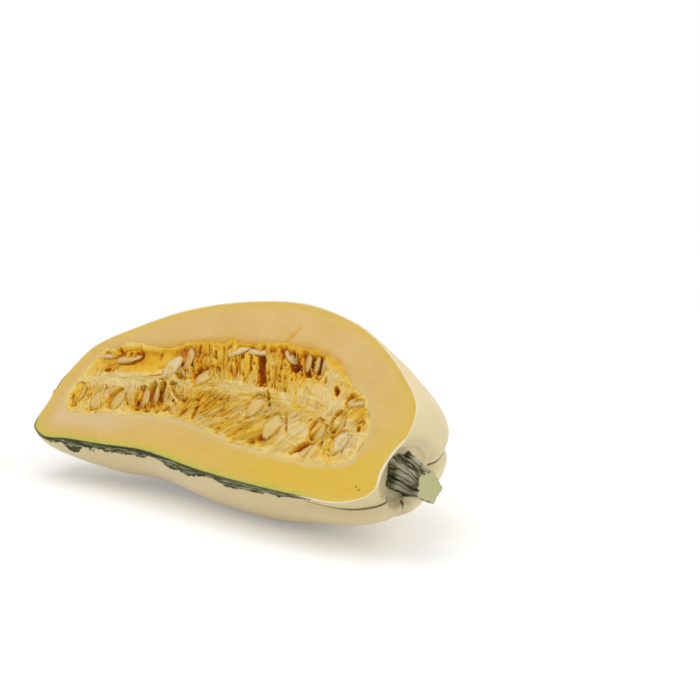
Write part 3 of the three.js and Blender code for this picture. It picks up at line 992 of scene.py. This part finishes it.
def rind_marks(skin, t, angle, caps, stripe_width):
    """What the rind's colour needs, per point: how far it lies inside the ragged green, from a
    furrow's line and from the line down the cut furrow, and how much of the scar covers it.

    Along the cut furrow, distance is measured down the rind from the face's lower edge.
    """
    x = skin[..., 0]
    away = np.abs(furrow_distances(x, between_rows(BODY_RINGS, t)[..., 1], angle))
    widths = np.array([np.interp(x, STRIPE_X, row) for row in STRIPE_HALF_WIDTH])
    margin = np.where(widths < 0.05, NO_GREEN, widths * stripe_width - away[1:]).max(axis=0)
    step = np.linalg.norm(np.diff(skin, axis=1), axis=2)
    below = np.concatenate([np.cumsum(step[:, ::-1], axis=1)[:, ::-1], np.zeros((len(x), 1))], 1)
    edge_y = np.where(np.arange(len(x)) < caps, 0, skin[:, -1, 1])[:, None]
    reach = np.interp(skin[:, -1:, 0], EDGE_STRIPE_X, EDGE_STRIPE_REACH) * stripe_width
    on_edge = smoothstep(edge_y, -9, -16)
    margin = np.maximum(margin, np.where(on_edge > 0, reach * on_edge - below, NO_GREEN))
    line = below + 1.2 * (1 - on_edge) + 3 * smoothstep(skin[:, -1:, 0], 54, 64)
    # The first furrow's line shows only near the stem, and the last one's only away from it.
    hidden = [smoothstep(x, 58, 52), 0 * x, 0 * x, 0 * x, smoothstep(x, 35, 45)]
    in_pit = FAR * smoothstep(t, len(BODY_RINGS) - 3.2, len(BODY_RINGS) - 2.8)
    furrow = np.min(away + FAR * np.array(hidden), axis=0) + in_pit
    scar = smoothstep(scar_distance(skin[..., 1], skin[..., 2]), SCAR["radius"] + 2.4,
                      SCAR["radius"] + 0.2) * blossom_end(x)
    return margin, furrow, line, scar


def cut_face(skin, opened, bowl, bowl_open, columns):
    """The cut face's two strips, with each point's distance from the rind and from the cavity.

    A strip is ruled from the rind's edge to the cavity's edge, row by row, with columns closer at
    both ends by a cosine. It sinks a little between them, by soft noise drawn out along the
    knife's way, and by a bell at the cavity, whose edge follows it.
    """
    share = np.linspace(0, 1, columns)
    share = 0.5 * share + 0.5 * (1 - np.cos(np.pi * share)) / 2
    outline, brim = (resampled(np.concatenate([grid[rows, 0], grid[rows, -1][::-1]]), 4)[:, :2]
                     for grid, rows in ((skin, opened), (bowl, bowl_open)))
    strips = []
    for side in (0, -1):
        outer, inner = skin[opened, side][:, None], bowl[bowl_open, side][:, None]
        strip = outer + (inner - outer) * share[:, None]
        rim, core = (distance_to_line(strip[..., :2], line) for line in (outline, brim))
        wave = soft_noise(strip, [30, 9, 9], 31) + 0.3 * soft_noise(strip, [14, 1.6, 3], 32)
        strip[..., 2] = -0.28 * wave * np.minimum(1, rim / 2.5) * np.minimum(1, core / 1.5) \
            - 0.35 * bell(core, 1.1)
        bowl[bowl_open, side, 2] = strip[:, -1, 2]
        strips.append((strip, rim, core))
    return (np.stack(parts) for parts in zip(*strips))


def edge_green(x, y):
    """How green the flesh is by the cut furrow, and the rind's own cut edge there."""
    fades = smoothstep(y, -8, -17) * (0.5 + 0.5 * smoothstep(x, -82, -68))
    return smoothstep(x, 78, 50) * fades, smoothstep(x, 64, 52) * smoothstep(y, -14, -17)


def crack_share(face):
    """1 in the shallow crack in the flesh and 0 away from it: a bell across a short line, which
    narrows along it, with soft noise in its edge."""
    run = CRACK_ENDS[1] - CRACK_ENDS[0]
    along = np.clip(((face[..., :2] - CRACK_ENDS[0]) @ run) / (run @ run), 0, 1)
    apart = np.linalg.norm(face[..., :2] - CRACK_ENDS[0] - along[..., None] * run, axis=-1)
    apart = apart + noise(face, (1.2, 2.5, 33))
    return np.minimum(bell(apart, 1.9 - 0.9 * along) * (1.3 - 0.6 * along), 1)


def build_flesh_and_rind(sizes, colours):
    """The closed surface of the half: rind, cut face and cavity wall, joined edge to edge."""
    rows, caps, rind_columns, bowl_columns, face_columns = 330, 14, 168, 24, 29
    skin, t, angle, opened = shell_behind_cut(skin_point, len(BODY_RINGS), rows, caps, rind_columns)
    bowl, *_, bowl_open = shell_behind_cut(cavity_point, len(CAVITY_RINGS), rows, 6, bowl_columns)
    margin, furrow, line, scar = rind_marks(skin, t, angle, caps, sizes.stripe_width)
    face, rim, core = cut_face(skin, opened, bowl, bowl_open, face_columns)
    x, y = face[..., 0], face[..., 1]
    lower = np.array([0.0, 1.0])[:, None, None]

    def of_face(values):
        """Numbers of the rind's two edges, carried straight across the face's two strips."""
        return np.stack([values[opened, 0], values[opened, -1]])[..., None] + 0 * x

    green, dark_edge = edge_green(x, y)
    skin_green, skin_dark_edge = edge_green(skin[..., 0], skin[..., 1])
    gold = smoothstep(x, 0, 75) * smoothstep(y, 14, -12) + 0.5 * smoothstep(x, 55, 85) \
        + 0.5 * smoothstep(y, 4, -14) * smoothstep(x, -75, -5)
    glow = lower * 0.15 + (1 - lower) * (0.35 + 0.6 * smoothstep(x, -60, -35)) \
        * (1 - 0.8 * smoothstep(x, 36, 54))
    crack = crack_share(face)
    face[..., 2] -= 0.35 * crack
    by_scar = smoothstep(scar_distance(y, 0), SCAR["radius"] + 1, SCAR["radius"] - 1) \
        * blossom_end(x)
    by_stem = 1 + 1.3 * smoothstep(x, 74, 82) * smoothstep(y, -9, -4) * smoothstep(y, 14, 9)
    blush = smoothstep(x, -20, -62) * smoothstep(y, 26, 8) * smoothstep(rim, 4, 11)
    blush = np.maximum(blush, smoothstep(bell(x - 63, 8) * bell(y - 0.5, 5), 0.25, 0.6))
    length = 200
    uv = [uv_band(skin, length, 0.01, 0.47), uv_band(bowl, length, 0.87, 0.12),
          *stack(x / length + 0.5, 0.5 + 0.35 * (y + 26) / 92)]
    numbers = {
        "stripe_margin": [margin, -9, *of_face(margin)],
        "furrow_mm": [furrow, FAR, *of_face(furrow)],
        "below_edge_mm": [line, FAR, *of_face(line)],
        "scar": [scar, 0, *by_scar],
        "rim_mm": [0, FAR, *(rim / by_stem)],
        "core_mm": [FAR, 0, *core],
        "green_rim": [skin_green, 0, *(green * lower)],
        "gold": [0, 0, *np.minimum(gold, 1)],
        "orange_core": [0, 1, *glow],
        "crack": [0, 0, *crack],
        "green_edge": [skin_dark_edge, 0, *(dark_edge * lower)],
        "blush": [0, 0, *blush],
    }
    finish_piece("squash_flesh_and_rind", [skin, bowl, *face],
                 [rind_material(colours), flesh_material(colours)], numbers, uv, [0, 1, 1, 1],
                 ["flesh_and_rind"])


def pulp_sheet_height(x, y, to_border, to_tip):
    """Height and tone of the pulp's face with its border, which is spread thinly over the flesh.

    Up to the cavity's edge the sheet is a ragged film, tongues of fibre that stand just over or
    just under the flesh by noise, and it is tucked in at its very border. From there the surface
    proper takes over by a smoothstep. Steep walls, where the step to the next point is high, are
    as deeply coloured as the hollows that they lead to: painted shade on walls that lie in shade.
    """
    height, tone = pulp_surface(x, y)
    fibre, out = fibre_place(x, y)
    drawn = flat(fibre, out)
    tongues = soft_noise(drawn, [2, 4, 9], 55) + 0.5 * soft_noise(drawn, [0.8, 2, 9], 56)
    upper = np.where(out > 0, smoothstep(x, -60, -35) * smoothstep(x, 54, 36), 0)
    bare = smoothstep(soft_noise(flat(x, y), 5, 60), 0.6, 0.4)
    film = -0.2 + 0.12 * (tongues - 0.75) - 0.3 * bare * smoothstep(to_border, 2.4, 0.8)
    inside = to_border - PULP_SPREAD + noise(flat(x, y), (2, 2.6, 57))
    blend = smoothstep(inside, 0.3, 3) * smoothstep(to_tip, 0, 2)
    lowest = -6.5 * np.sqrt(np.clip(inside / 9, 0, 1)) + PULP_TUCK
    height = film + (np.clip(height, lowest, 0.08 * to_border - 0.45) - film) * blend
    height = PULP_TUCK + (height - PULP_TUCK) * smoothstep(to_border, 0, 0.4)
    fringe = 0.86 - 0.28 * upper + 0.16 * (tongues - 0.75)
    # Painted shade: steep walls are darkened like the hollows that they lead to.
    steep = smoothstep(np.hypot(*np.gradient(height)), 0.25, 0.9)
    return height, fringe + (tone - fringe) * blend - 0.14 * steep


def build_pulp(colours):
    """The pulp as one closed surface: its fibrous face over a base just inside the cavity wall.

    The face is a grid over the cavity's opening, and reaches past the cavity's edge. The base is
    the cavity wall, drawn in by a hair.
    """
    rows, columns, caps, base_columns = 430, 190, 3, 16
    # The wall is held a little high while it is cut, so that it starts just under the cut.
    raised = np.array([0, 0, 0.1])
    base, _, _, opened = shell_behind_cut(lambda t, angle: cavity_point(t, angle) + raised,
                                          len(CAVITY_RINGS), rows, caps, base_columns)
    base = base - raised
    borders = []
    for side in (0, -1):
        edge = base[opened, side]
        spine_x = np.clip(edge[:, 0], -62, 56)
        outward = edge[:, :2] - stack(spine_x, cord_rise(spine_x))
        outward /= np.linalg.norm(outward, axis=1, keepdims=True)
        borders.append(flat(*(edge[:, :2] + PULP_SPREAD * outward).T, PULP_TUCK))
    share = np.linspace(0, 1, columns)[None, :, None]
    face = borders[0][:, None] + (borders[1] - borders[0])[:, None] * share
    x, y = face[..., 0], face[..., 1]
    border = resampled(np.concatenate([borders[0], borders[1][::-1]]), 2)[:, :2]
    to_border = distance_to_line(face[..., :2], border)
    # Rows stand about 0.35 mm apart at the tips.
    to_tip = 0.35 * np.minimum(np.arange(rows), np.arange(rows)[::-1])[:, None]
    face[..., 2], tone = pulp_sheet_height(x, y, to_border, to_tip)
    hairy = 0.48 - 0.38 * smoothstep(chamber_share(x, y), 0.25, 0.6)

    centre = face.mean(axis=1, keepdims=True)
    base[opened] = base[opened] + 0.004 * (centre - base[opened])
    base[..., 2] = np.minimum(base[..., 2], PULP_TUCK)
    base[opened, 0], base[opened, -1] = face[:, 0], face[:, -1]
    numbers = {"tone": [tone, 0.4], "hairy": [hairy, 0.4],
               "fibre_mm": [flat(*fibre_place(x, y)), base]}
    length = 160
    uv = [stack(x / length + 0.5, 0.1 + 0.89 * (y + 14) / 62), uv_band(base, length, 0.01, 0.08)]
    finish_piece("pulp_bed", [face, base], [pulp_material(colours)], numbers, uv,
                 nodes=["pulp"], crease=80)


def cavity_rim():
    """The cavity's upper and lower edge in the cut: each as x and y along it."""
    t = np.linspace(*open_stretch(cavity_point, len(CAVITY_RINGS)), 400)[1:-1]
    return [cavity_point(t, where_arc_meets_cut(cavity_point, t, side)) for side in (1.0, -1.0)]


def over_neighbours(height):
    """Heights along strands raised to the larger neighbour, then smoothed by halves."""
    padded = np.pad(height, ((0, 0), (1, 1)), mode="edge")
    height = np.maximum(height, np.maximum(padded[:, :-2], padded[:, 2:]))
    padded = np.pad(height, ((0, 0), (1, 1)), mode="edge")
    return (padded[:, :-2] + 2 * height + padded[:, 2:]) / 4


def build_fibres(sizes, colours):
    """Single fibres that lie on the pulp, one piece above the cord, one below it, one along it.

    A fibre starts anywhere between the cord and the cavity's edge and follows the lean of its
    neighbours with a slight bow. It rides a little over the highest pulp that it crosses.
    """
    rng = np.random.default_rng(7)
    material = fibre_material(colours)
    upper, lower = cavity_rim()
    steps = 8
    for label, side, count in (("upper", 1, sizes.fibres), ("lower", -1, sizes.fibres),
                               ("cord", 0, sizes.fibres // 4)):
        x = rng.uniform(-72, 66, count)
        reach = np.abs(np.interp(x, *(upper if side > 0 else lower)[:, :2].T) - cord_rise(x))
        length = rng.uniform(2, 7, count)
        v = np.linspace(0, 1, steps)[None]
        bow = rng.normal(0, 0.35, count)[:, None] * np.sin(np.pi * v)
        slant = rng.normal(0, 0.16, count)[:, None]
        run = length[:, None] * v
        if side:
            begin = np.maximum(reach * rng.uniform(0.08, 1.04, count) - length, 1)
            px = x[:, None] + (fibre_lean(x, side > 0)[:, None] + slant) * run + bow
            py = (cord_rise(x) + side * begin)[:, None] + side * run
        else:
            band = 2 + 3 * bell(x - 40, 20)
            px = x[:, None] + run
            py = cord_rise(px) + (band * rng.normal(0, 0.5, count))[:, None] + slant * run + bow
        height, tone = pulp_surface(px, py)
        height = over_neighbours(height)
        lift = rng.uniform(0.02, 0.14, count)[:, None]
        path = flat(px, py, np.minimum(height + lift * (0.3 + np.sin(np.pi * v)), 0.25))
        middle = py[:, steps // 2]
        chamber = bell(x - CHAMBER["x"], 14) * bell(middle - CHAMBER["y"], 6)
        torn = torn_share(px[:, steps // 2], middle - cord_rise(px[:, steps // 2]))
        keep = (chamber < 0.3) & ((rng.random(count) < 0.45 + torn) | (side == 0)) \
            & (px.max(axis=1) < 68) & (np.min(height, axis=1) > -2.2)
        path, width = path[keep], sizes.fibre_width / MM * rng.lognormal(0, 0.3, count)[keep]
        # A fibre takes the tone of the pulp under it, painted shade of the hollows included, made a
        # little paler.
        pale = np.clip(np.mean(tone, axis=1) + 0.1 + rng.normal(0, 0.08, count), 0, 1)[keep]
        tubes, uv = strand_tubes(path, width, 0.6 * width, pale)
        finish_piece(f"pulp_fibres_{label}", tubes, [material], uv=uv)


def seed_shape(rows, columns):
    """A seed about its middle, its length along x: a drop whose outline is the sine of its length
    raised to a power, with a rounded lens across and a raised line inside its edge."""
    t = ((1 - np.cos(np.pi * np.linspace(0, 1, rows))) / 2)[:, None]
    angle = ring_angles(columns)
    length, width, thickness = SEED_SIZE / 2
    share = np.sin(np.pi * t ** 0.88) ** 0.5
    across, through = np.sin(angle), np.cos(angle)
    out = np.hypot(np.abs(2 * t - 1) ** 1.5 * 0.9, np.abs(across))
    bead = bell(out - 0.86, 0.07) * 0.16
    lens = np.sign(through) * np.abs(through) ** 0.85
    z = (share ** 0.8 * thickness * 0.88 + bead) * lens * share ** 0.2
    return stack((2 * t - 1) * length, share * width * across, z), bell(out - 0.93, 0.1)


def build_seeds(colours):
    """Each seed in its place, as its own piece: rolled about its length, then turned.

    No two are quite alike: each has its own bend and width, and soft noise in its thickness.
    """
    material = seed_material(colours)
    shape, margin = seed_shape(22, 33)
    rng = np.random.default_rng(19)
    for number, (x, y, turn, roll, below, white, _) in enumerate(SEEDS, 1):
        local = shape.copy()
        local[..., 2] += rng.uniform(-0.25, 0.25) * (local[..., 0] / 6) ** 2
        local[..., 1] *= 1.08 + rng.uniform(-0.05, 0.03)
        local[..., 2] *= 1 + noise(local + 20 * number, (0.16, 2.4, 61))
        roll = math.radians(roll)
        along, across, out = np.moveaxis(local, -1, 0)
        across, out = turned(across, out, -roll)
        along, across = turned(along, across, -math.radians(90 - turn))
        half = np.hypot(SEED_SIZE[1] * math.sin(roll), SEED_SIZE[2] * math.cos(roll)) / 2
        placed = stack(along + x, across + y, out - below - half)
        finish_piece(f"fresh_seed_{number:02d}", [placed], [material],
                     {"margin": [margin], "white": [white]},
                     nodes=[f"seed_{number:02d}"], crease=60)


def build_stem(sizes, colours):
    """The stem: a ribbed tube with bark ridges along it, closed by its cut end.

    A ring's radius is the table's, times one plus a cosine rib, plus ridges of noise drawn out
    along the stem. The cut end is a disc, a little sunken and slanted. The bark's tone carries
    painted light: one side is lighter and the opposite side darker, and the foot is darker, painted
    shade where the stem goes into its pit.
    """
    rows, columns, disc, foot_rows = 120, 241, 12, 4
    t = np.linspace(0, len(STEM_RINGS) - 1, rows)[:, None]
    angle = ring_angles(columns)
    x, radius, rise, depth = np.moveaxis(between_rows(STEM_RINGS, t), -1, 0)
    ring = stack(x, 6 * np.cos(angle), 6 * np.sin(angle))
    twist = angle + 0.012 * (x - 90) + noise(ring, (0.22, 5, 70))
    spot = stack(x, 6 * np.cos(twist), 6 * np.sin(twist))
    groove = 0.6 * ridges(spot, [13, 2.6, 2.6], 71) ** 5 \
        + 0.4 * ridges(spot, [6, 1.1, 1.1], 72) ** 4
    groove[:, -1] = groove[:, 0]
    rib = np.cos(STEM_RIBS * angle) + 0.35 * np.cos(2 * STEM_RIBS * angle)
    rough = sizes.bark_depth / MM * (0.25 - groove) * (0.55 + 0.45 * smoothstep(x, 100.5, 99))
    r = radius * (1 + STEM_RIB_HEIGHT * rib) + rough
    slant = STEM_CUT_SLANT * smoothstep(x, 93, 100) * (r * np.cos(angle) + 3)
    side = stack(x - slant, rise + r * np.sin(angle), -depth + r * np.cos(angle))
    side[..., 2] = np.minimum(side[..., 2], -0.15)
    share = np.linspace(0, 1, disc)[1:, None, None]
    cap = side[-1] + (side[-1].mean(axis=0) - side[-1]) * share
    cap[..., 0] += 0.1 - 0.4 * share[..., 0] ** 2 + noise(cap, (0.16, 1.6, 73))
    foot = side[0] + (side[0].mean(axis=0) - side[0]) \
        * np.linspace(1, 0, foot_rows)[:-1, None, None]
    grid = np.concatenate([foot, side, cap])
    # Painted light: one side of the stem is lighter and the opposite side darker, and painted shade
    # darkens the foot, where the stem goes into its pit.
    silver = 0.15 * np.cos(angle - 0.9)
    shade = 0.54 - 0.82 * groove + 0.05 * rib + silver - 0.3 * smoothstep(x, 89.5, 86)
    crest, cut = np.zeros((2, *grid.shape[:2]))
    top = len(foot) + rows
    crest[len(foot):top] = shade
    crest[top:] = 0.4
    cut[top:] = 1
    cut[top - 1] = 0.4
    finish_piece("woody_stem", [grid], [stem_material(colours)], {"crest": [crest], "cut": [cut]},
                 nodes=["stem"], crease=50)


def build_stage():
    """A pale table, a soft lamp overhead, weaker ones in front and at the right, and the camera."""
    bpy.ops.mesh.primitive_plane_add(size=12, location=(0, 0, 0))
    table = bpy.context.object
    table.name = "table_top"
    table.data.materials.append(table_material())

    world = bpy.data.worlds.new("studio_surround")
    bpy.context.scene.world = world
    world.use_nodes = True
    tree = world.node_tree
    tree.nodes.clear()
    strength = add(tree, "MapRange", {"Value": seen_ray(tree), "To Min": 0.5})
    glow = add(tree, "Background", ("#ffffff", strength))
    add(tree, "OutputWorld", (glow,))

    target = Vector((0, 0, 0.03))
    for name, place, size, power in (
            ("overhead_softbox", (-0.25, -0.15, 1.15), 1.1, 5.3),
            ("front_softbox", (0.75, -0.9, 0.7), 0.7, 0.8),
            ("right_softbox", (0.8, 0.3, 0.6), 0.8, 2.8)):
        lamp = bpy.data.lights.new(name, "AREA")
        lamp.shape = "SQUARE"
        lamp.size = size
        lamp.energy = power
        holder = new_object(name, lamp)
        holder.location = place
        holder.rotation_euler = (target - holder.location).to_track_quat("-Z", "Y").to_euler()

    # A long lens from the front right, a little above the table.
    camera = bpy.data.cameras.new("camera")
    camera.lens = 110
    camera.sensor_width = 36
    camera.clip_start = 0.01
    holder = new_object("camera", camera)
    azimuth, elevation = math.radians(40), math.radians(14.5)
    holder.location = (0.527, -0.5779, 0.2609)
    holder.rotation_euler = (math.pi / 2 - elevation, 0, azimuth)
    bpy.context.scene.camera = holder
    bpy.context.scene.view_settings.view_transform = "Standard"


# ---------------------------------------------------------------- add-on

def colour_property(name, description, code):
    """A colour that a user may change, with its hex default turned to linear."""
    return bpy.props.FloatVectorProperty(name=name, description=description, subtype="COLOR",
                                         size=3, min=0, max=1, default=linear(code))


class SquashSizes(bpy.types.PropertyGroup):
    """Sizes a user would change."""
    stripe_width: bpy.props.FloatProperty(
        name="Stripe width", description="Width of the green stripes, as a share of the usual",
        default=1.0, min=0, max=2, subtype="FACTOR")
    fibre_width: bpy.props.FloatProperty(
        name="Fibre width", description="Usual width of one pulp fibre", default=0.00032,
        min=0.0001, max=0.002, unit="LENGTH", precision=5)
    fibres: bpy.props.IntProperty(
        name="Fibres", description="Single fibres above and below the cord", default=800, min=10,
        max=3000)
    bark_depth: bpy.props.FloatProperty(
        name="Bark depth", description="Height of the ridges along the stem", default=0.0018,
        min=0, max=0.003, unit="LENGTH", precision=5)


class SquashColours(bpy.types.PropertyGroup):
    """Colours a user would change."""
    rind: colour_property("Rind", "Cream ground of the rind", "#eedcb0")
    rind_warm: colour_property("Warm rind", "Warmer clouds in the rind", "#e6cf98")
    stripe: colour_property("Stripe", "Darkest green of the stripes", "#2e3214")
    stripe_light: colour_property("Light stripe", "Lighter green of the stripes", "#484a20")
    flesh: colour_property("Flesh", "Peach yellow of the cut flesh", "#e4bf78")
    flesh_deep: colour_property("Deep flesh", "Yellower clouds in the flesh", "#deb862")
    pulp: colour_property("Pulp", "Orange of the wet pulp", "#e0a010")
    fibre: colour_property("Fibres", "Middle colour of the pulp's fibres", "#e6b42c")
    seed: colour_property("Seeds", "Coat of a fresh seed", "#e2bf68")
    stem: colour_property("Stem", "Dry bark of the stem", "#8b8566")


class SQUASH_OT_flesh_and_rind(bpy.types.Operator):
    """Build the rind, the cut face and the cavity wall"""
    bl_idname = "squash.flesh_and_rind"
    bl_label = "Flesh and rind"

    def execute(self, context):
        build_flesh_and_rind(context.scene.squash_sizes, context.scene.squash_colours)
        return {"FINISHED"}


class SQUASH_OT_pulp(bpy.types.Operator):
    """Build the sheet of pulp and its single fibres"""
    bl_idname = "squash.pulp"
    bl_label = "Pulp"

    def execute(self, context):
        build_pulp(context.scene.squash_colours)
        build_fibres(context.scene.squash_sizes, context.scene.squash_colours)
        return {"FINISHED"}


class SQUASH_OT_seeds(bpy.types.Operator):
    """Build every seed in its place"""
    bl_idname = "squash.seeds"
    bl_label = "Seeds"

    def execute(self, context):
        build_seeds(context.scene.squash_colours)
        return {"FINISHED"}


class SQUASH_OT_stem(bpy.types.Operator):
    """Build the woody stem"""
    bl_idname = "squash.stem"
    bl_label = "Stem"

    def execute(self, context):
        build_stem(context.scene.squash_sizes, context.scene.squash_colours)
        return {"FINISHED"}


class SQUASH_OT_stage(bpy.types.Operator):
    """Build the table, the lamps and the camera"""
    bl_idname = "squash.stage"
    bl_label = "Stage"

    def execute(self, context):
        build_stage()
        return {"FINISHED"}


OPERATORS = (SQUASH_OT_stage, SQUASH_OT_flesh_and_rind, SQUASH_OT_pulp, SQUASH_OT_seeds,
             SQUASH_OT_stem)


class SQUASH_PT_panel(bpy.types.Panel):
    """Lists the pieces with their sizes and colours"""
    bl_label = "Squash"
    bl_idname = "SQUASH_PT_panel"
    bl_space_type = "VIEW_3D"
    bl_region_type = "UI"
    bl_category = "Squash"

    def draw(self, context):
        for operator in OPERATORS:
            self.layout.operator(operator.bl_idname)
        for group in (context.scene.squash_sizes, context.scene.squash_colours):
            for label in group.__annotations__:
                self.layout.prop(group, label)


CLASSES = (SquashSizes, SquashColours, *OPERATORS, SQUASH_PT_panel)


def register():
    """Registers the classes and hangs the sizes and colours on the scene."""
    for cls in CLASSES:
        bpy.utils.register_class(cls)
    bpy.types.Scene.squash_sizes = bpy.props.PointerProperty(type=SquashSizes)
    bpy.types.Scene.squash_colours = bpy.props.PointerProperty(type=SquashColours)


def unregister():
    """Takes away what register added."""
    del bpy.types.Scene.squash_sizes
    del bpy.types.Scene.squash_colours
    for cls in reversed(CLASSES):
        bpy.utils.unregister_class(cls)


def main():
    """Builds everything in order."""
    register()
    for operator in OPERATORS:
        getattr(bpy.ops.squash, operator.bl_idname.split(".")[1])()


if __name__ == "__main__":
    main()
